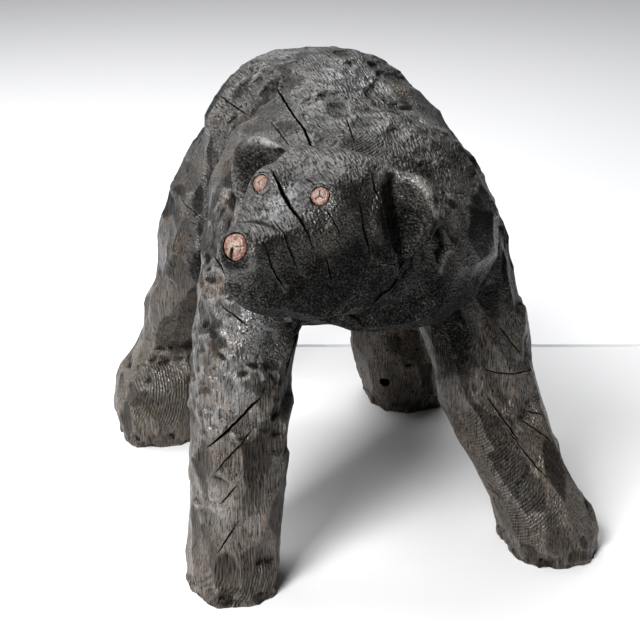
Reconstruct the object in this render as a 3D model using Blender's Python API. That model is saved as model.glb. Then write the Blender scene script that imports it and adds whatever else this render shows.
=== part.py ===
"""A chainsaw-carved bear: one carved piece of dark wood with three wooden plugs, two eyes and a nose.

Blender 4.5, metres, +Z up. The bear faces -Y, its left side is +X and its four feet stand on z = 0.
The carving is lofted limb by limb, merged into one solid, cut flat under its feet and drilled for
the plugs. The driving dimensions are the sections of its limbs and the places on its head.
"""

import math
from collections import namedtuple

import bmesh
import bpy
from mathutils import Matrix, Vector

# A section's place is its centre. Its width is measured across the bear, its depth along the other
# axis of its plane, and its square is 2 for an ellipse and more for a boxier outline.
Section = namedtuple("Section", "x y z half_width half_depth square", defaults=[2.4])

# The trunk from the chest to the rump, in upright sections.
TRUNK = [
    Section(-0.010, -0.368, 0.488, 0.050, 0.045),
    Section(-0.008, -0.343, 0.487, 0.110, 0.088),
    Section(-0.005, -0.300, 0.492, 0.158, 0.110),
    Section(0.000, -0.220, 0.495, 0.188, 0.142),
    Section(0.002, -0.120, 0.500, 0.196, 0.168),
    Section(0.011, -0.010, 0.508, 0.181, 0.187),
    Section(0.008, 0.060, 0.510, 0.184, 0.191),
    Section(0.000, 0.120, 0.506, 0.193, 0.191),
    Section(0.000, 0.200, 0.492, 0.176, 0.182),
    Section(0.000, 0.290, 0.468, 0.150, 0.155),
    Section(0.000, 0.350, 0.455, 0.110, 0.112),
    Section(0.000, 0.385, 0.450, 0.055, 0.055),
]

# The legs from inside the trunk to below the floor, in level sections.
RIGHT_FORELEG = [
    Section(-0.100, -0.060, 0.648, 0.022, 0.035),
    Section(-0.116, -0.085, 0.615, 0.058, 0.080),
    Section(-0.141, -0.130, 0.555, 0.076, 0.110),
    Section(-0.159, -0.175, 0.490, 0.080, 0.115),
    Section(-0.178, -0.205, 0.430, 0.079, 0.110),
    Section(-0.193, -0.228, 0.360, 0.075, 0.098),
    Section(-0.205, -0.245, 0.260, 0.072, 0.084),
    Section(-0.217, -0.258, 0.130, 0.068, 0.077),
    Section(-0.224, -0.262, 0.050, 0.069, 0.080),
    Section(-0.226, -0.262, -0.020, 0.069, 0.080),
]
LEFT_FORELEG = [
    Section(0.085, -0.045, 0.648, 0.022, 0.035),
    Section(0.100, -0.062, 0.615, 0.056, 0.080),
    Section(0.124, -0.095, 0.555, 0.074, 0.110),
    Section(0.142, -0.130, 0.480, 0.083, 0.118),
    Section(0.153, -0.155, 0.410, 0.085, 0.112),
    Section(0.167, -0.185, 0.320, 0.083, 0.098),
    Section(0.182, -0.220, 0.230, 0.081, 0.088),
    Section(0.204, -0.245, 0.165, 0.078, 0.086),
    Section(0.230, -0.266, 0.105, 0.076, 0.088),
    Section(0.253, -0.284, 0.045, 0.077, 0.090),
    Section(0.263, -0.291, -0.020, 0.074, 0.086),
]
RIGHT_HIND_LEG = [
    Section(-0.065, 0.150, 0.635, 0.020, 0.035),
    Section(-0.082, 0.165, 0.600, 0.050, 0.085),
    Section(-0.106, 0.180, 0.540, 0.068, 0.112),
    Section(-0.134, 0.190, 0.475, 0.077, 0.132),
    Section(-0.155, 0.200, 0.390, 0.081, 0.140),
    Section(-0.166, 0.212, 0.320, 0.077, 0.125),
    Section(-0.186, 0.240, 0.250, 0.072, 0.096),
    Section(-0.204, 0.268, 0.185, 0.067, 0.076),
    Section(-0.214, 0.274, 0.152, 0.067, 0.078),
    Section(-0.232, 0.262, 0.112, 0.075, 0.092, 2.8),
    Section(-0.244, 0.262, 0.055, 0.078, 0.094, 2.8),
    Section(-0.244, 0.262, -0.020, 0.073, 0.088, 2.8),
]
LEFT_HIND_LEG = [
    Section(0.065, 0.150, 0.635, 0.020, 0.035),
    Section(0.082, 0.165, 0.600, 0.050, 0.085),
    Section(0.106, 0.180, 0.540, 0.068, 0.112),
    Section(0.134, 0.190, 0.475, 0.077, 0.132),
    Section(0.154, 0.200, 0.390, 0.081, 0.140),
    Section(0.162, 0.212, 0.320, 0.077, 0.125),
    Section(0.172, 0.240, 0.250, 0.074, 0.098),
    Section(0.182, 0.268, 0.185, 0.072, 0.078),
    Section(0.188, 0.276, 0.152, 0.072, 0.080),
    Section(0.201, 0.268, 0.112, 0.082, 0.092, 2.8),
    Section(0.214, 0.268, 0.055, 0.080, 0.092, 2.8),
    Section(0.224, 0.268, -0.020, 0.072, 0.082, 2.8),
]

# The head in its own frame: its origin is between the ears, +X is the bear's left, +Y runs along
# the muzzle and +Z is up. The head is turned to the bear's right, bowed and cocked a little.
HEAD_PLACE = (-0.1035, -0.346, 0.638)
HEAD_TURN = math.radians(47.5)
HEAD_BOW = math.radians(5)
HEAD_COCK = math.radians(-1.6)
HEAD = [
    Section(0.000, -0.190, -0.130, 0.080, 0.060, 2.6),
    Section(0.000, -0.130, -0.118, 0.096, 0.064, 2.8),
    Section(0.000, -0.070, -0.100, 0.104, 0.068, 3.0),
    Section(0.000, -0.035, -0.082, 0.110, 0.086, 3.0),
    Section(0.000, 0.000, -0.076, 0.113, 0.096, 3.2),
    Section(0.000, 0.050, -0.083, 0.100, 0.098, 3.2),
    Section(0.000, 0.100, -0.088, 0.077, 0.085, 3.2),
    Section(0.000, 0.145, -0.084, 0.053, 0.067, 3.2),
    Section(0.000, 0.182, -0.074, 0.034, 0.053, 3.0),
    Section(0.000, 0.202, -0.065, 0.025, 0.041, 2.8),
    Section(0.000, 0.209, -0.060, 0.015, 0.028, 2.8),
]

# An ear is a flap that grows out of the crown. Its place is its middle in the head's frame and its
# facing is the way its front looks.
Ear = namedtuple("Ear", "place facing")
EARS = {
    "right": Ear((-0.122, -0.010, -0.032), (-0.22, 0.92, 0.22)),
    "left": Ear((0.107, -0.008, -0.042), (0.22, 0.94, 0.12)),
}
# The flap's outline as outward and up from the ear's middle, from the crown round to the cheek.
EAR_OUTLINE = [
    (-0.062, 0.018), (-0.048, 0.040), (-0.022, 0.044), (0.004, 0.045), (0.025, 0.037), (0.039, 0.017),
    (0.042, -0.010), (0.034, -0.038), (0.012, -0.060), (-0.022, -0.056), (-0.048, -0.028),
]
# The flap's thickness as forward from its middle, each with the share of its outline there.
EAR_SLICES = [(-0.016, 0.70), (-0.011, 0.90), (-0.003, 1.00), (0.006, 1.00), (0.012, 0.92)]
# What is chopped away in front of each ear, as the corners of a convex block in the head's frame:
# first round the flap's front, which it hollows, then along the brow or cheek and out into the air.
EAR_HOLLOWS = {
    "right": [
        (-0.058, 0.000, 0.003), (-0.122, -0.006, 0.000), (-0.150, -0.006, -0.026),
        (-0.147, -0.006, -0.060), (-0.112, -0.003, -0.084),
        (-0.046, 0.040, 0.016), (-0.055, 0.110, -0.010), (-0.090, 0.150, -0.060),
        (-0.104, 0.100, -0.100), (-0.108, 0.030, -0.094),
        (-0.220, 0.030, 0.060), (-0.220, 0.120, 0.060), (-0.220, 0.120, -0.100), (-0.220, 0.030, -0.100),
    ],
    "left": [
        (0.086, 0.004, -0.002), (0.112, -0.004, -0.004), (0.134, -0.005, -0.020),
        (0.139, -0.005, -0.050), (0.120, -0.004, -0.086), (0.100, -0.002, -0.092),
        (0.097, 0.062, -0.010), (0.105, 0.050, -0.092), (0.106, 0.020, -0.130),
        (0.220, 0.020, 0.040), (0.220, 0.070, 0.040), (0.220, 0.070, -0.160), (0.220, 0.020, -0.160),
    ],
}

# A plug is a dowel with a domed end. Its place is the middle of the dome's rim in the head's frame,
# and the same dowel, a little longer and wider, drills its socket.
Plug = namedtuple("Plug", "place facing radius dome length")
PLUGS = {
    "right_eye_plug": Plug((-0.0415, 0.0955, -0.0020), (-0.20, 0.78, 0.59), 0.0112, 0.0035, 0.020),
    "left_eye_plug": Plug((0.0435, 0.0955, -0.0030), (0.20, 0.78, 0.59), 0.0118, 0.0035, 0.020),
    "nose_plug": Plug((-0.002, 0.207, -0.0345), (0.00, 0.93, 0.37), 0.0168, 0.0085, 0.026),
}
PLUG_GAP = 0.0003
DOME_RINGS = 4

# The floor's cut under the feet is a slab of this size.
FLOOR_CUT = (1.2, 1.4, 0.2)

# How finely the limbs are merged, how far the trunk and legs and then the whole are softened, and
# the share of the merged faces that is kept.
VOXEL = 0.005
LIMB_SMOOTH_STEPS = 30
HEAD_SMOOTH_STEPS = 5
KEPT_SHARE = 0.036
RING_POINTS = 36
RINGS_PER_SPAN = 5
PLUG_POINTS = 24

CARVING_COLOUR = (0.030, 0.028, 0.026)
PLUG_COLOUR = (0.300, 0.120, 0.070)
CARVING_ROUGHNESS = 0.60
PLUG_ROUGHNESS = 0.40

X_AXIS, Y_AXIS, Z_AXIS = Vector((1, 0, 0)), Vector((0, 1, 0)), Vector((0, 0, 1))


def eased(sections, steps):
    """The sections with more of them in between, along a Catmull-Rom curve through every field."""
    found = []
    last = len(sections) - 1
    for i in range(last):
        a, b, c, d = (sections[min(max(k, 0), last)] for k in (i - 1, i, i + 1, i + 2))
        for step in range(steps):
            t = step / steps
            values = []
            for p, q, r, s in zip(a, b, c, d):
                bend = (2 * p - 5 * q + 4 * r - s) * t**2 + (3 * q - p - 3 * r + s) * t**3
                values.append(0.5 * (2 * q + (r - p) * t + bend))
            found.append(Section(*values))
    return found + [sections[-1]]


def outline(section, across, deep):
    """The points of one section, a superellipse in the plane of across and deep."""
    centre = Vector((section.x, section.y, section.z))
    power = 2 / section.square
    points = []
    for i in range(RING_POINTS):
        angle = 2 * math.pi * i / RING_POINTS
        c, s = math.cos(angle), math.sin(angle)
        u = math.copysign(abs(c) ** power, c) * section.half_width
        v = math.copysign(abs(s) ** power, s) * section.half_depth
        points.append(centre + across * u + deep * v)
    return points


def bridge(bm, rings):
    """Joins rings of points into a tube and closes both ends."""
    rings = [[bm.verts.new(point) for point in ring] for ring in rings]
    count = len(rings[0])
    for low, high in zip(rings, rings[1:]):
        for i in range(count):
            j = (i + 1) % count
            bm.faces.new((low[i], low[j], high[j], high[i]))
    bm.faces.new(rings[0][::-1])
    bm.faces.new(rings[-1])


def loft(bm, sections, across, deep, place=Matrix.Identity(4)):
    """Adds a closed tube through the sections."""
    outlines = (outline(section, across, deep) for section in eased(sections, RINGS_PER_SPAN))
    bridge(bm, [[place @ point for point in points] for points in outlines])


def head_frame():
    """Takes the head's own axes to the bear's."""
    facing_front = Matrix.Rotation(math.pi, 4, "Z")
    left_is_left = Matrix.Diagonal((-1, 1, 1, 1))
    turn = Matrix.Rotation(-HEAD_TURN, 4, "Z")
    bow = Matrix.Rotation(-HEAD_BOW, 4, "X")
    cock = Matrix.Rotation(-HEAD_COCK, 4, "Y")
    return Matrix.Translation(HEAD_PLACE) @ turn @ facing_front @ bow @ left_is_left @ cock


def ear_axes(ear):
    """The ear's own axes in the head's frame: outward, the way it faces and up."""
    facing = Vector(ear.facing).normalized()
    outward = facing.cross(Z_AXIS).normalized() * math.copysign(1, ear.place[0])
    return outward, facing, outward.cross(facing) * math.copysign(1, ear.place[0])


def add_ear_flap(bm, ear):
    outward, facing, up = ear_axes(ear)
    frame, place = head_frame(), Vector(ear.place)
    rings = []
    for forward, share in EAR_SLICES:
        ring = [place + facing * forward + (outward * u + up * v) * share for u, v in EAR_OUTLINE]
        rings.append([frame @ point for point in ring])
    bridge(bm, rings)


def add_ear_hollow(bm, corners):
    verts = [bm.verts.new(head_frame() @ Vector(corner)) for corner in corners]
    found = bmesh.ops.convex_hull(bm, input=verts)
    bmesh.ops.delete(bm, geom=list({*found["geom_interior"], *found["geom_unused"]}), context="VERTS")


def add_dowel(bm, plug, gap=0.0, dome=True):
    """Adds a plug, or with a gap the drill that leaves room all round it."""
    facing = Vector(plug.facing).normalized()
    across = facing.cross(Z_AXIS).normalized()
    up = across.cross(facing)
    profile = [(plug.radius + gap, -plug.length - gap)]
    if dome:
        for i in range(DOME_RINGS):
            angle = math.pi / 2 * i / DOME_RINGS
            profile.append((plug.radius * math.cos(angle), plug.dome * math.sin(angle)))
    else:
        profile.append((plug.radius + gap, plug.length))
    rings = []
    for radius, forward in profile:
        ring = []
        for i in range(PLUG_POINTS):
            angle = 2 * math.pi * i / PLUG_POINTS
            spoke = across * math.cos(angle) + up * math.sin(angle)
            ring.append(head_frame() @ (Vector(plug.place) + spoke * radius + facing * forward))
        rings.append(ring)
    bridge(bm, rings)


def material(name, colour, roughness):
    made = bpy.data.materials.new(name)
    made.use_nodes = True
    shader = made.node_tree.nodes["Principled BSDF"]
    shader.inputs["Base Color"].default_value = (*colour, 1)
    shader.inputs["Roughness"].default_value = roughness
    return made


def new_object(name, bm):
    """Makes an object of the mesh being built, with its faces pointing out."""
    bmesh.ops.recalc_face_normals(bm, faces=bm.faces)
    mesh = bpy.data.meshes.new(name)
    bm.to_mesh(mesh)
    bm.free()
    obj = bpy.data.objects.new(name, mesh)
    bpy.context.scene.collection.objects.link(obj)
    return obj


def cut_away(obj, name, bm):
    """Cuts the mesh being built from the object, by a hidden cutter."""
    cutter = new_object(name, bm)
    cutter.hide_render = True
    cutter.display_type = "WIRE"
    cut = obj.modifiers.new(name, "BOOLEAN")
    cut.operation = "DIFFERENCE"
    cut.object = cutter
    cut.solver = "EXACT"
    return cutter


def merge_and_soften(obj, steps):
    """Makes one skin of the object's overlapping pieces and rounds their creases."""
    merge = obj.modifiers.new("merge", "REMESH")
    merge.mode = "VOXEL"
    merge.voxel_size = VOXEL
    soften = obj.modifiers.new("soften", "SMOOTH")
    soften.iterations = steps


def trunk_and_legs():
    """The mesh of the body without its head, already merged."""
    bm = bmesh.new()
    loft(bm, TRUNK, X_AXIS, Z_AXIS)
    for leg in (RIGHT_FORELEG, LEFT_FORELEG, RIGHT_HIND_LEG, LEFT_HIND_LEG):
        loft(bm, leg, X_AXIS, Y_AXIS)
    body = new_object("trunk and legs", bm)
    merge_and_soften(body, LIMB_SMOOTH_STEPS)
    bm = bmesh.new()
    bm.from_object(body, bpy.context.evaluated_depsgraph_get())
    bpy.data.objects.remove(body)
    return bm


def carved_bear():
    bm = trunk_and_legs()
    loft(bm, HEAD, X_AXIS, Z_AXIS, head_frame())
    for ear in EARS.values():
        add_ear_flap(bm, ear)
    bear = new_object("carved_bear", bm)
    merge_and_soften(bear, HEAD_SMOOTH_STEPS)
    thin = bear.modifiers.new("thin", "DECIMATE")
    thin.ratio = KEPT_SHARE
    return bear


def floor_cutter():
    bm = bmesh.new()
    size = Matrix.Diagonal((*FLOOR_CUT, 1))
    bmesh.ops.create_cube(bm, size=1, matrix=Matrix.Translation((0, 0, -FLOOR_CUT[2] / 2)) @ size)
    return bm


def hollow_cutter():
    bm = bmesh.new()
    for corners in EAR_HOLLOWS.values():
        add_ear_hollow(bm, corners)
    return bm


def socket_cutter():
    bm = bmesh.new()
    for plug in PLUGS.values():
        add_dowel(bm, plug, PLUG_GAP, dome=False)
    return bm


def stand_on_origin(body, others):
    """Moves everything so that the origin is under the middle of the body, on the floor."""
    bpy.context.view_layer.update()
    seen = body.evaluated_get(bpy.context.evaluated_depsgraph_get())
    corners = [seen.matrix_world @ Vector(corner) for corner in seen.bound_box]
    low = [min(corner[i] for corner in corners) for i in range(3)]
    high = [max(corner[i] for corner in corners) for i in range(3)]
    stance = bpy.data.objects.new("stance", None)
    bpy.context.scene.collection.objects.link(stance)
    stance.location = (-(low[0] + high[0]) / 2, -(low[1] + high[1]) / 2, -low[2])
    for obj in (body, *others):
        obj.parent = stance


def main():
    for obj in list(bpy.data.objects):
        bpy.data.objects.remove(obj)
    bear = carved_bear()
    bear.data.materials.append(material("blackened wood", CARVING_COLOUR, CARVING_ROUGHNESS))
    pieces = [
        cut_away(bear, "floor", floor_cutter()),
        cut_away(bear, "ear hollows", hollow_cutter()),
        cut_away(bear, "plug sockets", socket_cutter()),
    ]
    plug_wood = material("branch wood", PLUG_COLOUR, PLUG_ROUGHNESS)
    for name, plug in PLUGS.items():
        bm = bmesh.new()
        add_dowel(bm, plug)
        piece = new_object(name, bm)
        piece.data.materials.append(plug_wood)
        pieces.append(piece)
    stand_on_origin(bear, pieces)


main()
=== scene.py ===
import math
from collections import namedtuple

import bmesh
import bpy
import numpy as np
from mathutils import Matrix, Vector
from mathutils.bvhtree import BVHTree
from mathutils.kdtree import KDTree

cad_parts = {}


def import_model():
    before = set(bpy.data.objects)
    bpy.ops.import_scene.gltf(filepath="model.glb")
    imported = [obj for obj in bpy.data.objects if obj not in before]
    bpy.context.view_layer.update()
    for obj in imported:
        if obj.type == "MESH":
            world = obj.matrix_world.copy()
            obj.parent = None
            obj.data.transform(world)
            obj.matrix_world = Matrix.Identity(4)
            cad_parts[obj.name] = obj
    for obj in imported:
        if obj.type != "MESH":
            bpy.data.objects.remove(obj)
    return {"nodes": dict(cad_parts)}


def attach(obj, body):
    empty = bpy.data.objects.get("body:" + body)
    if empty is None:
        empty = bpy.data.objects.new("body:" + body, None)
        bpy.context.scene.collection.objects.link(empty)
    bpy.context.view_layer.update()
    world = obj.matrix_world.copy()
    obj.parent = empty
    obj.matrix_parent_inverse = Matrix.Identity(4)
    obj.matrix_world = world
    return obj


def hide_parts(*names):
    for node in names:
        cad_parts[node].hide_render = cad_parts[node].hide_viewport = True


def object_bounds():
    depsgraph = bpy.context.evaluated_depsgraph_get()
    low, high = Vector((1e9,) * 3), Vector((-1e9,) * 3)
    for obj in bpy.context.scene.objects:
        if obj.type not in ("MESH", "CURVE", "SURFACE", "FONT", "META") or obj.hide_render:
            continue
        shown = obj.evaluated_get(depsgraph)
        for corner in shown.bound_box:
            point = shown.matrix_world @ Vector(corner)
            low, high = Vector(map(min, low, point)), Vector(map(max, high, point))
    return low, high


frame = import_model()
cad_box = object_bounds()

NODES = frame["nodes"]
FLOOR_MIDDLE = Vector(((cad_box[0].x + cad_box[1].x) / 2, (cad_box[0].y + cad_box[1].y) / 2, cad_box[0].z))

# ---- small helpers


def unit(v):
    v = np.asarray(v, float)
    return v / max(np.linalg.norm(v), 1e-12)


def ramp(low, high, values):
    """0 below low, 1 above high and smooth between."""
    t = np.clip((values - low) / (high - low), 0.0, 1.0)
    return t * t * (3 - 2 * t)


def new_piece(name, mesh):
    obj = bpy.data.objects.new(name, mesh)
    bpy.context.scene.collection.objects.link(obj)
    return obj


def mesh_of(bm, name):
    mesh = bpy.data.meshes.new(name)
    bm.to_mesh(mesh)
    bm.free()
    return mesh


def apply_modifiers(obj):
    graph = bpy.context.evaluated_depsgraph_get()
    mesh = bpy.data.meshes.new_from_object(obj.evaluated_get(graph))
    old = obj.data
    obj.modifiers.clear()
    obj.data = mesh
    bpy.data.meshes.remove(old)


def lumps(points, size, seed):
    """Smooth random values from -1 to 1 at the points, in lumps of the given size."""
    cell = points / np.asarray(size, float)
    base = np.floor(cell).astype(np.int64)
    part = cell - base
    part = part * part * (3 - 2 * part)
    total = np.zeros(len(points))
    for corner in np.ndindex(2, 2, 2):
        c = base + corner
        h = (c[:, 0] * 73856093) ^ (c[:, 1] * 19349663) ^ (c[:, 2] * 83492791) ^ (seed * 2654435761)
        h = ((h ^ (h >> 13)) * 1274126177) & 0xFFFFFFFF
        value = ((h ^ (h >> 16)) & 0xFFFF) / 32767.5 - 1
        weight = np.ones(len(points))
        for axis in range(3):
            weight *= part[:, axis] if corner[axis] else 1 - part[:, axis]
        total += weight * value
    return total


def layered(points, size, seed, layers=3):
    return sum(0.5**k * lumps(points, np.asarray(size, float) * 0.5**k, seed + k) for k in range(layers))


# ---- the plugs in the CAD

Dowel = namedtuple("Dowel", "inner axis radius length dome")
DOMES = {"right_eye_plug": 0.0035, "left_eye_plug": 0.0035, "nose_plug": 0.0085}


def dowel_of(node):
    """Where a plug's flat inner end is, which way it points out, and its radius and whole length."""
    mesh = NODES[node].data
    sums = {}
    for face in mesh.polygons:
        key = tuple(round(c, 2) for c in face.normal)
        sums[key] = sums.get(key, 0.0) + face.area
    axis = -Vector(max(sums, key=sums.get)).normalized()
    points = {tuple(round(c, 6) for c in v.co) for v in mesh.vertices}
    points = [Vector(p) for p in points]
    along = [p.dot(axis) for p in points]
    inner = sum(points, Vector()) / len(points)
    inner = inner - axis * (inner.dot(axis) - min(along))
    radius = max((p - inner - axis * (p - inner).dot(axis)).length for p in points)
    return Dowel(inner, axis, radius, max(along) - min(along), DOMES[node])


PLUGS = {name: dowel_of(name) for name in ("right_eye_plug", "left_eye_plug", "nose_plug")}


def face_frame():
    """The face's own frame: midway between the eyes, +X to the bear's left, +Y back from the nose."""
    right, left, nose = (PLUGS[n].inner + PLUGS[n].axis * PLUGS[n].length
                         for n in ("right_eye_plug", "left_eye_plug", "nose_plug"))
    middle = (right + left) / 2
    x = (left - right).normalized()
    y = middle - nose
    y = (y - x * y.dot(x)).normalized()
    frame_matrix = Matrix((x, y, x.cross(y))).transposed().to_4x4()
    frame_matrix.translation = middle
    return frame_matrix


FACE = face_frame()


def on_face(*place):
    return np.array(FACE @ Vector(place))


# The middles of the ears in the face's frame, where the strokes are light.
EARS = [(-0.123, 0.096, -0.059), (0.106, 0.092, -0.068)]

# ---- the carving's limbs

# Each limb's axis from its far end to where it is lost in the trunk, its usual half-width, and the
# side that bearings on it are counted from, positive towards the bear's left.
Limb = namedtuple("Limb", "half_width zero points")
FRONT, UP = (0, -1, 0), (0, 0, 1)
LIMBS = {
    "right_foreleg": Limb(0.082, FRONT, [
        (-0.233, -0.207, -0.020), (-0.224, -0.203, 0.130), (-0.212, -0.190, 0.260),
        (-0.200, -0.173, 0.360), (-0.166, -0.120, 0.490), (-0.130, -0.040, 0.600)]),
    "left_foreleg": Limb(0.088, FRONT, [
        (0.257, -0.236, -0.020), (0.223, -0.211, 0.105), (0.197, -0.190, 0.165),
        (0.175, -0.165, 0.230), (0.160, -0.130, 0.320), (0.135, -0.075, 0.480), (0.108, -0.010, 0.600)]),
    "right_hind_leg": Limb(0.088, FRONT, [
        (-0.251, 0.317, -0.020), (-0.239, 0.317, 0.112), (-0.211, 0.323, 0.185),
        (-0.173, 0.267, 0.320), (-0.141, 0.245, 0.475), (-0.110, 0.235, 0.560)]),
    "left_hind_leg": Limb(0.088, FRONT, [
        (0.217, 0.323, -0.020), (0.194, 0.323, 0.112), (0.175, 0.323, 0.185),
        (0.155, 0.267, 0.320), (0.127, 0.245, 0.475), (0.100, 0.235, 0.560)]),
    "trunk": Limb(0.190, UP, [
        (-0.015, -0.290, 0.487), (-0.007, -0.165, 0.495), (-0.007, 0.055, 0.508),
        (-0.007, 0.255, 0.495), (-0.007, 0.420, 0.455)]),
    "head": Limb(0.100, tuple(FACE.col[2][:3]), [on_face(0, -0.105, -0.040), on_face(0, 0.190, -0.085)]),
}
NAMES = list(LIMBS)
LEG_COUNT = 4


def spans(limb):
    """Each straight run of the limb's axis: its start, direction, length, and its two side axes."""
    for a, b in zip(limb.points, limb.points[1:]):
        a, b = np.array(a), np.array(b)
        length = np.linalg.norm(b - a)
        way = (b - a) / length
        zero = unit(np.array(limb.zero) - way * np.dot(limb.zero, way))
        yield a, way, length, zero, np.cross(way, zero)


Fields = namedtuple("Fields", "limb along bearing way")


def limb_fields(points):
    """For each point: its limb, where on the limb it is, and which way the limb runs there."""
    count = len(points)
    limb, gap = np.zeros(count, int), np.full(count, np.inf)
    along, bearing = np.zeros(count), np.zeros(count)
    way = np.zeros((count, 3))
    for k, name in enumerate(NAMES):
        run = 0.0
        for start, forward, length, zero, across in spans(LIMBS[name]):
            t = np.clip((points - start) @ forward, 0, length)
            off = points - start - t[:, None] * forward
            here = np.linalg.norm(off, axis=1) / LIMBS[name].half_width
            near = here < gap
            gap[near], limb[near], along[near] = here[near], k, run + t[near]
            bearing[near] = np.degrees(np.arctan2(off[near] @ across, off[near] @ zero))
            way[near] = forward
            run += length
    return Fields(limb, along, bearing, way)


def cast(tree, name, along, bearing):
    """The skin's point and normal at a place on a limb, looking out from its axis."""
    left = along
    for start, way, length, zero, across in spans(LIMBS[name]):
        if left <= length:
            break
        left -= length
    angle = math.radians(bearing)
    outward = Vector(zero * math.cos(angle) + across * math.sin(angle))
    point, normal, _, _ = tree.ray_cast(Vector(start + way * left), outward)
    return np.array(point), np.array(normal), way


# ---- the dense blank

VOXEL = 0.0025
BLANK_SMOOTH_STEPS = 10
# How far the skin stands out before the strokes take it back, and the triangles kept before the cracks
# are cut.
PROUD = 0.0010
KEPT_FACES = 184000
# How far a socket's filling stops short of the plug's tip and starts below its inner end, and how much
# wider than the plug it is.
FILL_SHORT = 0.0035
FILL_BELOW = 0.001
FILL_WIDER = 0.002
CYLINDER_SIDES = 40


def add_cylinder(bm, centre, axis, radius, depth):
    turn = axis.to_track_quat("Z", "Y").to_matrix().to_4x4()
    bmesh.ops.create_cone(bm, cap_ends=True, segments=CYLINDER_SIDES, radius1=radius, radius2=radius,
                          depth=depth, matrix=Matrix.Translation(centre) @ turn)


def blank():
    """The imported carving, its sockets filled, as one dense even mesh."""
    bm = bmesh.new()
    bm.from_mesh(NODES["carved_bear"].data)
    bmesh.ops.remove_doubles(bm, verts=bm.verts, dist=1e-6)
    for plug in PLUGS.values():
        depth = plug.length - FILL_SHORT
        middle = plug.inner + plug.axis * (depth / 2 - FILL_BELOW)
        add_cylinder(bm, middle, plug.axis, plug.radius + FILL_WIDER, depth)
    obj = new_piece("carving", mesh_of(bm, "blank"))
    grid = obj.modifiers.new("grid", "REMESH")
    grid.mode = "VOXEL"
    grid.voxel_size = VOXEL
    soft = obj.modifiers.new("soft", "SMOOTH")
    soft.factor = 0.5
    soft.iterations = BLANK_SMOOTH_STEPS
    apply_modifiers(obj)
    return obj


# A bowl's edge is at 1. How far out it still cuts and is looked for, from where to where it fades, how
# squarely the skin has to face it, how much lighter a facet's painted shade is at its near end, and the
# least cut that gives a facet its painted shade.
BOWL_END, BOWL_REACH, BOWL_FADE = 1.5, 1.25, (0.7, 1.4)
BOWL_FACING = 0.25
FACET_SHADE_RUN = 0.35
FACET_SHADE_CUT = 0.0003
# How much of a stroke's depth is left at an ear and at a plug, and from how far to how far it comes back.
EAR_SHARE, EAR_NEAR, EAR_FAR = 0.08, 0.054, 0.080
PLUG_SHARE, PLUG_NEAR, PLUG_FAR = 0.10, 0.005, 0.022


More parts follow.
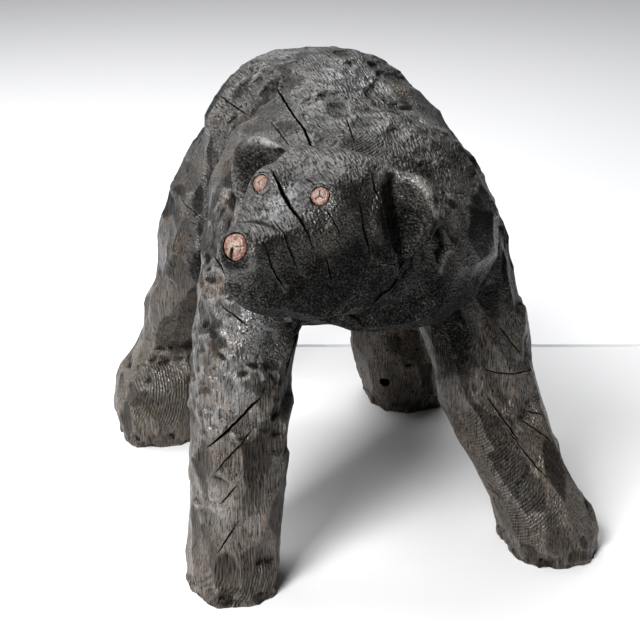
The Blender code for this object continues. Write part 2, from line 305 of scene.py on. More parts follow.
class Relief:
    """The dense mesh as arrays, which strokes cut into."""

    def __init__(self, mesh):
        count = len(mesh.vertices)
        self.co = self.read(mesh.vertices, "co", count)
        self.normal = self.read(mesh.vertex_normals, "vector", count)
        self.edges = np.empty(len(mesh.edges) * 2, np.int32)
        mesh.edges.foreach_get("vertices", self.edges)
        self.edges = self.edges.reshape(-1, 2)
        self.degree = np.bincount(self.edges.ravel(), minlength=count)
        self.base = self.co.copy()
        self.fields = limb_fields(self.base)
        self.tree = KDTree(count)
        for i, point in enumerate(self.co):
            self.tree.insert(point, i)
        self.tree.balance()
        self.co += self.normal * PROUD
        self.skin = self.co.copy()
        # Painted facet shading for each point: lighter or darker per facet at random, set by the strokes.
        self.tone = np.zeros(count)
        self.guard = np.ones(count)
        for ear in EARS:
            away = np.linalg.norm(self.base - on_face(*ear), axis=1)
            self.keep_off(EAR_SHARE, ramp(EAR_NEAR, EAR_FAR, away))
        for plug in PLUGS.values():
            away = np.linalg.norm(self.base - np.array(plug.inner + plug.axis * plug.length), axis=1)
            self.keep_off(PLUG_SHARE, ramp(plug.radius + PLUG_NEAR, plug.radius + PLUG_FAR, away))

    def keep_off(self, share, clear):
        """Leaves only a share of each stroke's depth where the clear value is 0."""
        self.guard = np.minimum(self.guard, share + (1 - share) * clear)

    @staticmethod
    def read(values, key, count):
        flat = np.empty(count * 3, np.float32)
        values.foreach_get(key, flat)
        return flat.reshape(-1, 3).astype(float)

    def spread(self, values, steps, share=0.5):
        """The values with each drawn towards its neighbours' mean, step by step."""
        a, b = self.edges.T
        count = len(self.co)
        for _ in range(steps):
            columns = [np.bincount(a, column[b], count) + np.bincount(b, column[a], count)
                       for column in values.T]
            values = values + share * (np.stack(columns, axis=1) / self.degree[:, None] - values)
        return values

    def near(self, point, reach):
        return np.fromiter((i for _, i, _ in self.tree.find_range(point, reach)), int)

    def cut(self, point, normal, along, half_length, half_width, depth, tilt=0.0, end=1.0, most=None,
            tone=None):
        """Takes off what stands above a shallow bowl that dips by depth under the point.

        A tilt leans the bowl deeper along its run, and an end below 1 makes its far end that much shorter.
        The facet it leaves is painted lighter or darker by its facet shade, lighter towards its near end:
        painted facet shading.
        """
        normal, along = unit(normal), np.asarray(along, float)
        along = unit(along - normal * along.dot(normal))
        across = np.cross(normal, along)
        ids = self.near(point, max(half_length, half_width) * BOWL_REACH)
        if not len(ids):
            return
        rel = self.co[ids] - point
        u, v, w = rel @ along, rel @ across, rel @ normal
        out = (np.where(u > 0, u / end, u) / half_length) ** 2 + (v / half_width) ** 2
        over = w - depth * (out - 1) + tilt * np.clip(u, -half_length, end * half_length)
        hit = (over > 0) & (out < BOWL_END) & (self.normal[ids] @ normal > BOWL_FACING)
        most = most or 0.001 + 1.6 * depth
        over = np.minimum(over[hit], most * (1 - ramp(*BOWL_FADE, out[hit]))) * self.guard[ids[hit]]
        self.co[ids[hit]] -= np.outer(over, normal)
        if tone is not None:
            left = over > FACET_SHADE_CUT
            self.tone[ids[hit][left]] = tone - FACET_SHADE_RUN * u[hit][left] / half_length

    def scattered(self, rng, spacing, mask):
        """Points of the skin under the mask, no two closer than the spacing."""
        taken, picked = {}, []
        around = [(x, y, z) for x in (-1, 0, 1) for y in (-1, 0, 1) for z in (-1, 0, 1)]
        for i in rng.permutation(np.flatnonzero(mask))[: int(60 * mask.sum() * (VOXEL / spacing) ** 2)]:
            p = self.base[i]
            cx, cy, cz = np.floor(p / spacing).astype(int)
            close = (q for x, y, z in around for q in taken.get((cx + x, cy + y, cz + z), ()))
            if all((p[0] - q[0]) ** 2 + (p[1] - q[1]) ** 2 + (p[2] - q[2]) ** 2 > spacing**2 for q in close):
                taken.setdefault((cx, cy, cz), []).append(p)
                picked.append(i)
        return picked


# ---- the carver's strokes

# A pass of strokes: how far apart they are, their half-length, half-width and depth in mm, the angle
# from the limb's run to theirs, how loosely they keep to it, their lean and how short their far end is.
Pass = namedtuple("Pass", "apart length width depth turn loose tilt end", defaults=[0.0, 0.30, 0.0, 1.0])

FLATS = {
    "right_foreleg": [Pass(32, 46, 30, 5.6, 0.4, 0.5)],
    "left_foreleg": [Pass(36, 90, 36, 5.4, 0.0, 0.15)],
    "right_hind_leg": [Pass(34, 66, 34, 6.0, 0.0, 0.3)],
    "left_hind_leg": [Pass(34, 66, 34, 6.0, 0.0, 0.3)],
    "head": [Pass(46, 80, 75, 1.2, 0.0, 0.9)],
}
SIDE_FLATS = [Pass(40, 90, 36, 6.4, 1.45, 0.22)]
BACK_FLATS = [Pass(40, 60, 45, 3.2, 1.2, 0.5), Pass(24, 27, 17, 2.0, 1.3, 0.5, 0.04, 0.5)]
SCALES = Pass(19, 25, 15, 3.6, 3.1, 0.22, 0.12, 0.3)
BROKEN = Pass(15, 14, 10, 2.2, 1.5, 0.7, 0.05, 0.6)
# How far a stroke leans off the skin for each mm of its depth.
FACET_LEAN = 0.017
# The most that one placed stroke and one stretch of a groove take off.
STROKE_MOST = 0.03
GROOVE_MOST = 0.02


def sweep(relief, rng, mask, strokes):
    """Cuts one pass of strokes all over the mask, each as deep as the rest under the skin there was."""
    f = relief.fields
    relief.skin = relief.spread(relief.co, 4)
    for i in relief.scattered(rng, strokes.apart / 1000, mask):
        size = rng.uniform(0.8, 1.25)
        angle = strokes.turn + rng.normal(0, strokes.loose)
        along = f.way[i] * math.cos(angle) + np.cross(relief.normal[i], f.way[i]) * math.sin(angle)
        lean = rng.normal(0, FACET_LEAN * strokes.depth, 3)
        # Each stroke paints its facet a random painted shade, from dark to light.
        relief.cut(relief.skin[i], relief.normal[i] + lean, along,
                   strokes.length / 1000 * size, strokes.width / 1000 * size,
                   strokes.depth / 1000 * rng.uniform(0.7, 1.2), strokes.tilt * rng.uniform(0.4, 1.4),
                   strokes.end, tone=rng.uniform(-1, 1))


def carve(relief, rng, tree):
    """All the strokes: first those with a place of their own, then the passes from broad to fine."""
    f = relief.fields
    limb = {name: f.limb == k for k, name in enumerate(NAMES)}
    legs = f.limb < LEG_COUNT
    sole = relief.normal[:, 2] < -0.8
    low = relief.base[:, 2] < 0.02
    back = limb["trunk"] & (relief.normal[:, 2] > 0.55)
    haunch = legs & (relief.base[:, 2] > 0.40)

    def stroke(name, along, bearing, length, width, depth, turn=0.0):
        """One stroke at a named place, its sizes in mm and its turn in degrees."""
        point, normal, way = cast(tree, name, along, bearing)
        angle = math.radians(turn)
        side = np.cross(normal, way)
        direction = way * math.cos(angle) + side * math.sin(angle)
        relief.cut(point, normal, direction, length / 1000, width / 1000, depth / 1000, most=STROKE_MOST)

    def groove(name, stops, width, depth):
        """A run of narrow strokes from place to place on a limb."""
        places = [cast(tree, name, *stop) for stop in stops]
        for (one, normal, _), (two, _, _) in zip(places, places[1:]):
            run = two - one
            relief.cut((one + two) / 2, normal, run, np.linalg.norm(run), width / 1000, depth / 1000,
                       most=GROOVE_MOST)

    # The valley between the right shoulder and the flank, a run of deep strokes behind the ridge.
    for along, bearing, depth in ((0.34, -62, 6), (0.33, -78, 9), (0.325, -94, 11), (0.33, -108, 9)):
        stroke("trunk", along, bearing, 75, 42, depth, turn=90)
    # The neck's groove behind the left cheek and under the jaw, and the crease above the right hind foot.
    groove("head", [(0.200, 92), (0.218, 108), (0.234, 122), (0.239, 134), (0.222, 145), (0.198, 156),
                    (0.170, 166)], 16, 8)
    groove("right_hind_leg", [(0.150, b) for b in (-75, -50, -25, 0, 25, 50)], 13, 6)
    # The head's flat top, between the nose and the crown.
    stroke("head", 0.070, 0, 110, 62, 1.6)
    for name, passes in FLATS.items():
        for strokes in passes:
            sweep(relief, rng, limb[name] & ~sole, strokes)
    for strokes in SIDE_FLATS:
        sweep(relief, rng, (limb["trunk"] | haunch) & ~back, strokes)
    for strokes in BACK_FLATS:
        sweep(relief, rng, back, strokes)
    # Scallops like fish scales on the right foreleg's upper half and in patches of the left side.
    scales = limb["right_foreleg"] & (f.along > 0.27) & (f.along < 0.50) & (np.abs(f.bearing + 35) < 70)
    sweep(relief, rng, scales, SCALES)
    patchy = lumps(relief.base, 0.11, 5)
    left_side = limb["trunk"] & (f.bearing > 15) & (f.bearing < 95) & (patchy > 0.0)
    sweep(relief, rng, left_side, SCALES._replace(turn=1.6, loose=0.5, depth=1.1))
    # Feet: rough broken edges just above the soles.
    sweep(relief, rng, legs & low & ~sole, BROKEN)


# How high up a plug's dome the wood comes, how far from the plug it rises, and the most it is lifted.
COLLAR = 0.30
COLLAR_NEAR, COLLAR_FAR, COLLAR_REACH = 0.003, 0.030, 0.036
COLLAR_MOST = 0.014


def collar(relief, plug):
    """Brings the wood round a plug up past the rim of its dome."""
    rim = plug.inner + plug.axis * (plug.length - plug.dome)
    ids = relief.near(tuple(rim), plug.radius + COLLAR_REACH)
    axis = np.array(plug.axis)
    rel = relief.co[ids] - np.array(rim)
    rise = rel @ axis
    out = np.linalg.norm(rel - np.outer(rise, axis), axis=1)
    lift = ramp(plug.radius + COLLAR_FAR, plug.radius + COLLAR_NEAR, out)
    lift = lift * np.clip(COLLAR * plug.dome - rise, 0, COLLAR_MOST)
    relief.co[ids] += np.outer(lift * (relief.normal[ids] @ axis > 0.2), axis)


# ---- fine relief

LUMP_HEIGHT = 0.00022
TORN_DEPTH = 0.0016
CRUMBLE_DEPTH = 0.0016
PIT_DEPTH = 0.0012


def roughen(relief):
    """The wood's own fine relief: lumps, torn fibres on the back and crumbled edges at the feet."""
    f, p = relief.fields, relief.base
    n = relief.normal
    height = LUMP_HEIGHT * layered(p, 0.009, 21)
    back = ramp(0.45, 0.8, n[:, 2]) * (f.limb == NAMES.index("trunk"))
    torn = layered(p, (0.012, 0.030, 0.012), 31)
    height -= back * TORN_DEPTH * ramp(0.35, 0.9, torn)
    feet = ramp(0.05, 0.01, p[:, 2])
    height -= feet * CRUMBLE_DEPTH * ramp(0.25, 0.8, layered(p, 0.014, 41))
    pits = lumps(p, 0.0075, 51)
    height -= PIT_DEPTH * ramp(0.62, 0.85, pits) * ramp(0.0, 0.4, lumps(p, 0.05, 52) + 0.4 * back)
    relief.co += n * height[:, None]


# Where the char is thick and shade is painted, on the left cheek and under the jaw, in the ear hollows and on
# the top of the left foreleg: the middle in the face's frame and how far it reaches.
DarkPatch = namedtuple("DarkPatch", "place reach")
CHAR_AND_SHADE_PATCHES = [
    DarkPatch((0.060, -0.050, -0.088), 0.050), DarkPatch((0.085, 0.000, -0.105), 0.058),
    DarkPatch((0.098, 0.045, -0.125), 0.062), DarkPatch((0.040, -0.090, -0.080), 0.040),
    DarkPatch((0.085, 0.050, -0.190), 0.050), DarkPatch((0.045, -0.020, -0.160), 0.060),
    DarkPatch((0.000, -0.126, -0.060), 0.016), DarkPatch((0.102, 0.066, -0.082), 0.042),
    DarkPatch((-0.118, 0.083, -0.058), 0.046), DarkPatch((0.075, 0.190, -0.385), 0.070),
]


# Where the char is burnished to a gloss and painted with a silvery sheen, by limb: along it in m, the bearing
# and how far the gloss and painted sheen reach.
GLOSS_AND_SHEEN_SPOTS = {
    "right_foreleg": [(0.470, -28, 0.070), (0.400, -25, 0.065), (0.320, -32, 0.060), (0.150, -30, 0.050)],
    "trunk": [(0.300, 8, 0.065), (0.430, -10, 0.055), (0.200, 26, 0.045), (0.020, 92, 0.045),
              (0.600, 60, 0.080)],
    "left_foreleg": [(0.140, -20, 0.050)],
    "right_hind_leg": [(0.130, -20, 0.035)],
    "head": [(0.080, -8, 0.034)],
    "left_hind_leg": [(0.300, 80, 0.090)],
}


def gloss_and_painted_sheen_at(points, tree):
    """How burnished the char is at each point, from 0 to 1: it is glossier there and gets a painted sheen."""
    amount = np.zeros(len(points))
    ragged = 0.5 * layered(points, 0.035, 91)
    for limb, spots in GLOSS_AND_SHEEN_SPOTS.items():
        for along, bearing, reach in spots:
            away = np.linalg.norm(points - cast(tree, limb, along, bearing)[0], axis=1) / reach
            amount = np.maximum(amount, ramp(1.15, 0.35, away + ragged))
    return amount


def worn_and_highlit_rims_at(points, normals):
    """Where the ears' upper outer edges are, from 0 to 1: they are made lighter as worn char and painted
    highlight.
    """
    across, up = (np.array(FACE.col[k][:3]) for k in (0, 2))
    back = np.array(FACE.col[1][:3])
    amount = np.zeros(len(points))
    for ear in EARS:
        rel = points - on_face(*ear)
        flat = np.outer(rel @ across, across) + np.outer(rel @ up, up)
        out = np.linalg.norm(flat, axis=1)
        edge = ramp(0.35, 0.80, np.einsum("ij,ij->i", normals, flat) / np.maximum(out, 1e-6))
        edge *= ramp(0.022, 0.032, out) * ramp(0.074, 0.060, out) * ramp(0.030, 0.020, np.abs(rel @ back))
        amount = np.maximum(amount, edge * ramp(-0.03, 0.0, rel @ up))
    return amount


def char_and_painted_shade_at(points):
    """How much char and painted shade each point gets, from 0 to 1, with a ragged edge."""
    amount = np.zeros(len(points))
    ragged = 0.12 * layered(points, 0.03, 81)
    for dark_patch in CHAR_AND_SHADE_PATCHES:
        away = np.linalg.norm(points - on_face(*dark_patch.place), axis=1) / dark_patch.reach
        amount = np.maximum(amount, ramp(1.15, 0.55, away + ragged))
    return amount


# ---- the carving as one piece

Crack = namedtuple("Crack", "limb width depth stops")
# Drying cracks by limb: width and depth in mm, then places along it in m with bearings in degrees.
CRACKS = [Crack(limb, *crack) for limb, cracks in (
    ("trunk", [
        (3.5, 16, [(0.360, -29), (0.270, -31), (0.200, -32), (0.090, -36)]),
        (1.9, 9, [(0.255, -42), (0.150, -43)]),
        (2.2, 10, [(0.205, -9), (0.115, -15)]),
        (2.7, 13, [(0.300, 13), (0.205, 20), (0.125, 31)]),
        (2.2, 9, [(0.445, -49), (0.355, -49)]),
        (2.0, 10, [(0.530, -102), (0.430, -110)])]),
    ("right_hind_leg", [
        (1.9, 9, [(0.385, -63), (0.385, -35)])]),
    ("right_foreleg", [
        (2.3, 12, [(0.495, -88), (0.462, -41)]),
        (2.0, 10, [(0.430, -52), (0.400, -14)])]),
    ("head", [
        (4.6, 16, [(0.122, -36), (0.069, 31), (0.058, 87)]),
        (2.4, 10, [(0.092, 52), (0.092, 85)]),
        (1.8, 9, [(0.127, 4), (0.105, 29)]),
        (3.2, 12, [(0.148, 38), (0.124, 85), (0.128, 114)]),
        (3.6, 13, [(0.184, 43), (0.158, 63), (0.157, 99), (0.172, 134)]),
        (2.6, 11, [(0.053, 8), (0.028, 61), (0.036, 110)]),
        (2.4, 11, [(0.000, 19), (0.003, 79), (0.017, 131)]),
        (2.8, 10, [(0.067, 93), (0.076, 125)]),
        (1.8, 9, [(0.134, 114), (0.178, 124)])]),
    ("right_foreleg", [
        (3.8, 15, [(0.247, -49), (0.282, -21), (0.332, 9)]),
        (2.2, 11, [(0.215, -38), (0.285, 3)]),
        (1.9, 9, [(0.168, -32), (0.205, -12)]),
        (2.2, 10, [(0.102, -30), (0.153, -8)])]),
    ("left_foreleg", [
        (2.3, 11, [(0.285, -21), (0.197, 2)]),
        (2.0, 10, [(0.243, 7), (0.157, 41)]),
        (2.0, 10, [(0.234, -11), (0.132, 10)]),
        (1.8, 8, [(0.388, 5), (0.318, 32)]),
        (2.0, 9, [(0.322, -19), (0.307, -2), (0.298, 24), (0.295, 49)]),
        (1.8, 8, [(0.244, 20), (0.213, 45)])]),
) for crack in cracks]
CRACK_STEP = 0.004
# How crooked a crack is, from point to point and at each point, and how far its cutter stands proud.
CRACK_DRIFT = 0.00022
CRACK_SHAKE = 0.00018
BLADE_CLEAR = 0.004


def crack_line(tree, crack, rng):
    """Points, normals and sides along a crack on the skin: straight from stop to stop, a little crooked."""
    stops = [cast(tree, crack.limb, *stop)[:2] for stop in crack.stops]
    line = []
    for (start, start_normal), (finish, finish_normal) in zip(stops, stops[1:]):
        steps = max(2, int(np.linalg.norm(finish - start) / CRACK_STEP))
        for t in np.arange(steps) / steps:
            chord = start + (finish - start) * t
            inward = -unit(start_normal + (finish_normal - start_normal) * t)
            hit = tree.ray_cast(Vector(chord - inward * 0.07), Vector(inward))
            line.append((np.array(hit[0]), np.array(hit[1])) if hit[0] else (chord, -inward))
    line.append(stops[-1])
    points, normals = (np.array(column) for column in zip(*line))
    for _ in range(4):
        normals[1:-1] = (normals[:-2] + normals[1:-1] + normals[2:]) / 3
    normals /= np.linalg.norm(normals, axis=1, keepdims=True)
    sides = np.cross(np.gradient(points, axis=0), normals)
    sides /= np.linalg.norm(sides, axis=1, keepdims=True)
    wander = np.cumsum(rng.normal(0, CRACK_DRIFT, len(points)))
    wander -= np.linspace(wander[0], wander[-1], len(points))
    wander += rng.normal(0, CRACK_SHAKE, len(points))
    return points + sides * wander[:, None], normals, sides


def add_blade(bm, tree, crack, rng):
    """Adds the wedge of empty space that one crack leaves, narrow at both ends and ragged."""
    points, normals, sides = crack_line(tree, crack, rng)
    count = len(points)
    s = np.clip(np.linspace(0, 1, count), 0.012, 0.988)
    taper = np.clip(5 * s * (1 - s), 0.05, 1) * rng.uniform(0.8, 1.15, count)
    half = crack.width / 2000 * taper
    depth = crack.depth / 1000 * np.sqrt(taper) + 0.002
    flare = 1 + BLADE_CLEAR / depth
    top_a = points + normals * BLADE_CLEAR + sides * (half * flare)[:, None]
    top_b = points + normals * BLADE_CLEAR - sides * (half * flare)[:, None]
    foot = points - normals * depth[:, None]
    rows = [[bm.verts.new(p) for p in row] for row in zip(top_a, top_b, foot)]
    for one, two in zip(rows, rows[1:]):
        for i in range(3):
            j = (i + 1) % 3
            bm.faces.new((one[i], one[j], two[j], two[i]))
    bm.faces.new(rows[0][::-1])
    bm.faces.new(rows[-1])


def subtract(obj, build):
    """Cuts away the closed shapes that build() adds to an empty bmesh."""
    bm = bmesh.new()
    build(bm)
    bmesh.ops.recalc_face_normals(bm, faces=bm.faces)
    cutter = new_piece("cutter", mesh_of(bm, "cutter"))
    cut = obj.modifiers.new("cut", "BOOLEAN")
    cut.operation = "DIFFERENCE"
    cut.object = cutter
    cut.solver = "MANIFOLD"
    apply_modifiers(obj)
    bpy.data.objects.remove(cutter)


def skin_tree(mesh):
    return BVHTree.FromPolygons([v.co for v in mesh.vertices], [p.vertices for p in mesh.polygons])


def open_cracks(obj):
    rng = np.random.default_rng(3)
    tree = skin_tree(obj.data)
    for crack in CRACKS:
        subtract(obj, lambda bm: add_blade(bm, tree, crack, rng))


# Knot holes and chips: the place, the way the hole goes in, its radius and its depth.
Hole = namedtuple("Hole", "place way radius depth")
HOLES = [
    Hole((0.282, -0.313, 0.038), (-0.5, 0.8, 0.0), 0.011, 0.020),
    Hole((0.152, 0.243, 0.067), (0.2, 0.9, -0.1), 0.009, 0.022),
    Hole((0.174, 0.240, 0.018), (0.1, 0.9, 0.3), 0.007, 0.010),
    Hole((-0.200, -0.291, 0.010), (0.1, 0.8, 0.7), 0.014, 0.010),
    Hole((-0.262, -0.288, 0.012), (0.1, 0.8, 0.7), 0.010, 0.010),
    Hole((0.216, -0.310, 0.008), (0.1, 0.8, 0.7), 0.013, 0.010),
]
# How ragged a hole is, as a share of its size.
HOLE_SWELL = 0.22


def open_holes(obj):
    tree = skin_tree(obj.data)
    for hole in HOLES:
        def ragged_cone(bm):
            skin = tree.find_nearest(Vector(hole.place))[0]
            way = Vector(hole.way).normalized()
            turn = way.to_track_quat("Z", "Y").to_matrix()
            made = bmesh.ops.create_icosphere(bm, subdivisions=3, radius=1)
            for v in made["verts"]:
                swell = 1 + HOLE_SWELL * float(lumps(np.array([v.co * 0.02]), 0.014, 90)[0])
                v.co = skin + turn @ Vector((v.co.x * hole.radius, v.co.y * hole.radius * 0.8,
                                             v.co.z * hole.depth)) * swell
        subtract(obj, ragged_cone)


# The gap round a plug, and how much longer than the plug its drill is and how far out that is moved.
SOCKET_GAP = 0.0003
SOCKET_PAST = 0.020
SOCKET_SHIFT = 0.009


def open_sockets(obj):
    """Drills the sockets, with a gap round each plug and on past the skin."""
    def sockets(bm):
        for plug in PLUGS.values():
            middle = plug.inner + plug.axis * (plug.length / 2 + SOCKET_SHIFT)
            add_cylinder(bm, middle, plug.axis, plug.radius + SOCKET_GAP,
                         plug.length + SOCKET_PAST + SOCKET_GAP)
    subtract(obj, sockets)


# How far under the skin a cut's walls count as wholly inside it, where they are painted fully dark as shade.
DEEP = 0.0035


def mark_deep(mesh, tree):
    """Stores how far under the uncut skin each point is, for the insides of cracks, holes and sockets, which
    are painted dark as shade.
    """
    depths = [tree.find_nearest(v.co)[3] for v in mesh.vertices]
    add_field(mesh, "deep", np.clip(np.array(depths) / DEEP, 0, 1))


# Patches of chainsaw chatter: the place on a limb, half-sizes along and across it in mm, the angle
# of the marks' spacing from the limb's run in degrees, and the radius of their arcs in mm.
Chatter = namedtuple("Chatter", "limb along bearing length width angle arc")
CHATTER = [
    Chatter("trunk", 0.110, -12, 45, 32, 30, 110),
    Chatter("right_hind_leg", 0.115, -10, 60, 75, 85, 160),
    Chatter("left_foreleg", 0.200, -40, 100, 40, 5, 120),
    Chatter("left_foreleg", 0.110, -35, 60, 60, 10, 90),
    Chatter("left_hind_leg", 0.060, -20, 45, 55, 50, 120),
    Chatter("right_foreleg", 0.060, 0, 45, 70, 80, 140),
    Chatter("left_foreleg", 0.350, -40, 60, 30, 5, 120),
]
# How far apart and how deep the marks are.
CHATTER_PITCH = 0.0048
CHATTER_DEPTH = 0.0009


def chatter_fields(points, tree):
    """At each point how far it is along the nearest patch's marks, and how marked it is."""
    spacing, amount = np.zeros(len(points)), np.zeros(len(points))
    ragged = layered(points, 0.03, 61)
    for patch in CHATTER:
        point, normal, way = cast(tree, patch.limb, patch.along, patch.bearing)
        side = unit(np.cross(normal, way))
        forward = unit(np.cross(side, normal))
        angle = math.radians(patch.angle)
        spread_way = forward * math.cos(angle) + side * math.sin(angle)
        pivot = point + spread_way * patch.arc / 1000
        rel = points - point
        out = np.sqrt((rel @ forward / patch.length) ** 2 + (rel @ side / patch.width) ** 2) * 1000
        share = ramp(1.1, 0.6, out + 0.25 * ragged) * ramp(0.06, 0.045, np.abs(rel @ normal))
        better = share > amount
        amount[better] = share[better]
        spacing[better] = np.linalg.norm(points[better] - pivot, axis=1)
    return spacing, amount


def chatter_marks(mesh, tree):
    """Cuts the saw's chatter marks into the mesh, made finer where they are."""
    amount = chatter_fields(Relief.read(mesh.vertices, "co", len(mesh.vertices)), tree)[1]
    bm = bmesh.new()
    bm.from_mesh(mesh)
    bm.verts.ensure_lookup_table()
    edges = [e for e in bm.edges if max(amount[v.index] for v in e.verts) > 0.05]
    bmesh.ops.subdivide_edges(bm, edges=edges, cuts=1, use_grid_fill=True)
    bm.to_mesh(mesh)
    bm.free()
    count = len(mesh.vertices)
    points = Relief.read(mesh.vertices, "co", count)
    normals = Relief.read(mesh.vertex_normals, "vector", count)
    spacing, amount = chatter_fields(points, tree)
    phase = spacing / CHATTER_PITCH + 0.25 * lumps(points, 0.012, 71)
    dip = amount * (0.6 + 0.4 * lumps(points, 0.02, 72)) * (0.5 - 0.5 * np.cos(2 * np.pi * phase))
    points -= normals * (CHATTER_DEPTH * dip)[:, None]
    mesh.vertices.foreach_set("co", points.astype(np.float32).ravel())
    add_field(mesh, "chatter", amount)
    add_field(mesh, "chatter_phase", phase)


def add_field(mesh, name, values):
    values = np.ascontiguousarray(values, dtype=np.float32)
    mesh.attributes.new(name, "FLOAT", "POINT").data.foreach_set("value", values)


# How much the strokes' edges are softened, how far the masks are, and what counts as a sharp edge.
STROKES_SOFTENED = 0.3
MASK_STEPS = 10
SHARP_ANGLE = math.radians(55)
# How widely each field compares a point with the skin round it, and the height at which it is full.
PROUD_FIELDS = {"ridge": (5, 0.0007), "swell": (30, 0.0025)}


def carving():
    """The whole carving: strokes, relief and fields on the dense mesh, then its cracks, holes and sockets."""
    obj = blank()
    mesh = obj.data
    relief = Relief(mesh)
    tree = skin_tree(mesh)
    carve(relief, np.random.default_rng(11), tree)
    for plug in PLUGS.values():
        collar(relief, plug)
    relief.co = relief.spread(relief.co, 1, STROKES_SOFTENED)
    roughen(relief)
    relief.co[:, 2] = np.maximum(relief.co[:, 2], 0.0)
    f = relief.fields
    mesh.vertices.foreach_set("co", relief.co.astype(np.float32).ravel())
    for name, (steps, reach) in PROUD_FIELDS.items():
        proud = np.einsum("ij,ij->i", relief.co - relief.spread(relief.co, steps), relief.normal)
        proud = relief.spread(proud[:, None], 1)[:, 0]
        if name == "ridge":
            # The ears' upper rims are added to the ridges, which are lighter as worn char and painted
            # highlight.
            proud += reach * worn_and_highlit_rims_at(relief.base, relief.normal)
        add_field(mesh, name, np.clip(proud / reach, -1, 1))
    masks = [f.limb < LEG_COUNT, f.limb == NAMES.index("head"), relief.normal[:, 2]]
    masks = relief.spread(np.stack(masks, axis=1).astype(float), MASK_STEPS)
    for name, values in zip(("on_legs", "on_head", "up"), masks.T):
        add_field(mesh, name, values)
    # The strokes' painted facet shading.
    add_field(mesh, "tone", relief.spread(relief.tone[:, None], 1)[:, 0])
    # Thick char with painted shade in the listed patches.
    add_field(mesh, "char_and_painted_shade", char_and_painted_shade_at(relief.base))
    # Gloss and a painted silvery sheen on the listed patches.
    add_field(mesh, "gloss_and_painted_sheen", gloss_and_painted_sheen_at(relief.base, tree))
    chatter_marks(mesh, tree)
    fewer = obj.modifiers.new("fewer", "DECIMATE")
    mesh.calc_loop_triangles()
    fewer.ratio = KEPT_FACES / len(mesh.loop_triangles)
    apply_modifiers(obj)
    tree_of_skin = skin_tree(obj.data)
    open_cracks(obj)
    open_holes(obj)
    open_sockets(obj)
    obj.data.polygons.foreach_set("use_smooth", [True] * len(obj.data.polygons))
    obj.data.set_sharp_from_angle(angle=SHARP_ANGLE)
    mark_deep(obj.data, tree_of_skin)
    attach(obj, "root")
    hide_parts("carved_bear")
    return obj


# ---- materials

# The log lies nose down by this much, and its grain with it.
LOG_TILT = (math.radians(-8), 0, 0)
GRAIN_SCALE = 420.0
LEG_GRAIN_SCALE = 620.0
LINE_SCALE = 330.0


class Nodes:
    """A short way to write a material's nodes."""

    def __init__(self, name):
        self.material = bpy.data.materials.new(name)
        self.material.use_nodes = True
        self.tree = self.material.node_tree
        self.shader = self.tree.nodes["Principled BSDF"]

    def add(self, kind, settings=(), **inputs):
        node = self.tree.nodes.new("ShaderNode" + kind)
        for key, value in dict(settings).items():
            setattr(node, key, value)
        for key, value in inputs.items():
            self.feed(node.inputs[key.replace("_", " ")], value)
        return node

    def feed(self, socket, value):
        if isinstance(value, bpy.types.NodeSocket):
            self.tree.links.new(value, socket)
        elif isinstance(value, tuple) and len(value) == 3 and socket.type == "RGBA":
            socket.default_value = (*value, 1)
        else:
            socket.default_value = value

    def math(self, operation, a, b=0.0, c=0.0):
        node = self.add("Math", {"operation": operation})
        for socket, value in zip(node.inputs, (a, b, c)):
            self.feed(socket, value)
        return node.outputs[0]

    def times(self, a, b):
        return self.math("MULTIPLY", a, b)

    def field(self, name):
        return self.add("Attribute", {"attribute_name": name}).outputs["Fac"]

    def noise(self, at, scale, detail, rough):
        return self.add("TexNoise", Vector=at, Scale=scale, Detail=detail, Roughness=rough).outputs["Fac"]

    def stretch(self, at, scale, turn=(0, 0, 0)):
        return self.add("Mapping", {"vector_type": "POINT"}, Vector=at, Scale=scale, Rotation=turn).outputs[0]

    def step(self, value, low, high):
        node = self.add("MapRange", {"interpolation_type": "SMOOTHSTEP"}, Value=value, From_Min=low,
                        From_Max=high)
        return node.outputs["Result"]

    def blend(self, share, a, b):
        node = self.add("Mix", {"data_type": "RGBA"})
        self.feed(node.inputs[0], share)
        self.feed(node.inputs[6], a)
        self.feed(node.inputs[7], b)
        return node.outputs[2]

    def mix(self, share, a, b):
        node = self.add("Mix", {"data_type": "FLOAT"})
        for k, value in ((0, share), (2, a), (3, b)):
            self.feed(node.inputs[k], value)
        return node.outputs[0]

    def bump(self, height, distance, normal=None):
        node = self.add("Bump", Height=height, Distance=distance)
        if normal is not None:
            self.feed(node.inputs["Normal"], normal)
        return node.outputs["Normal"]


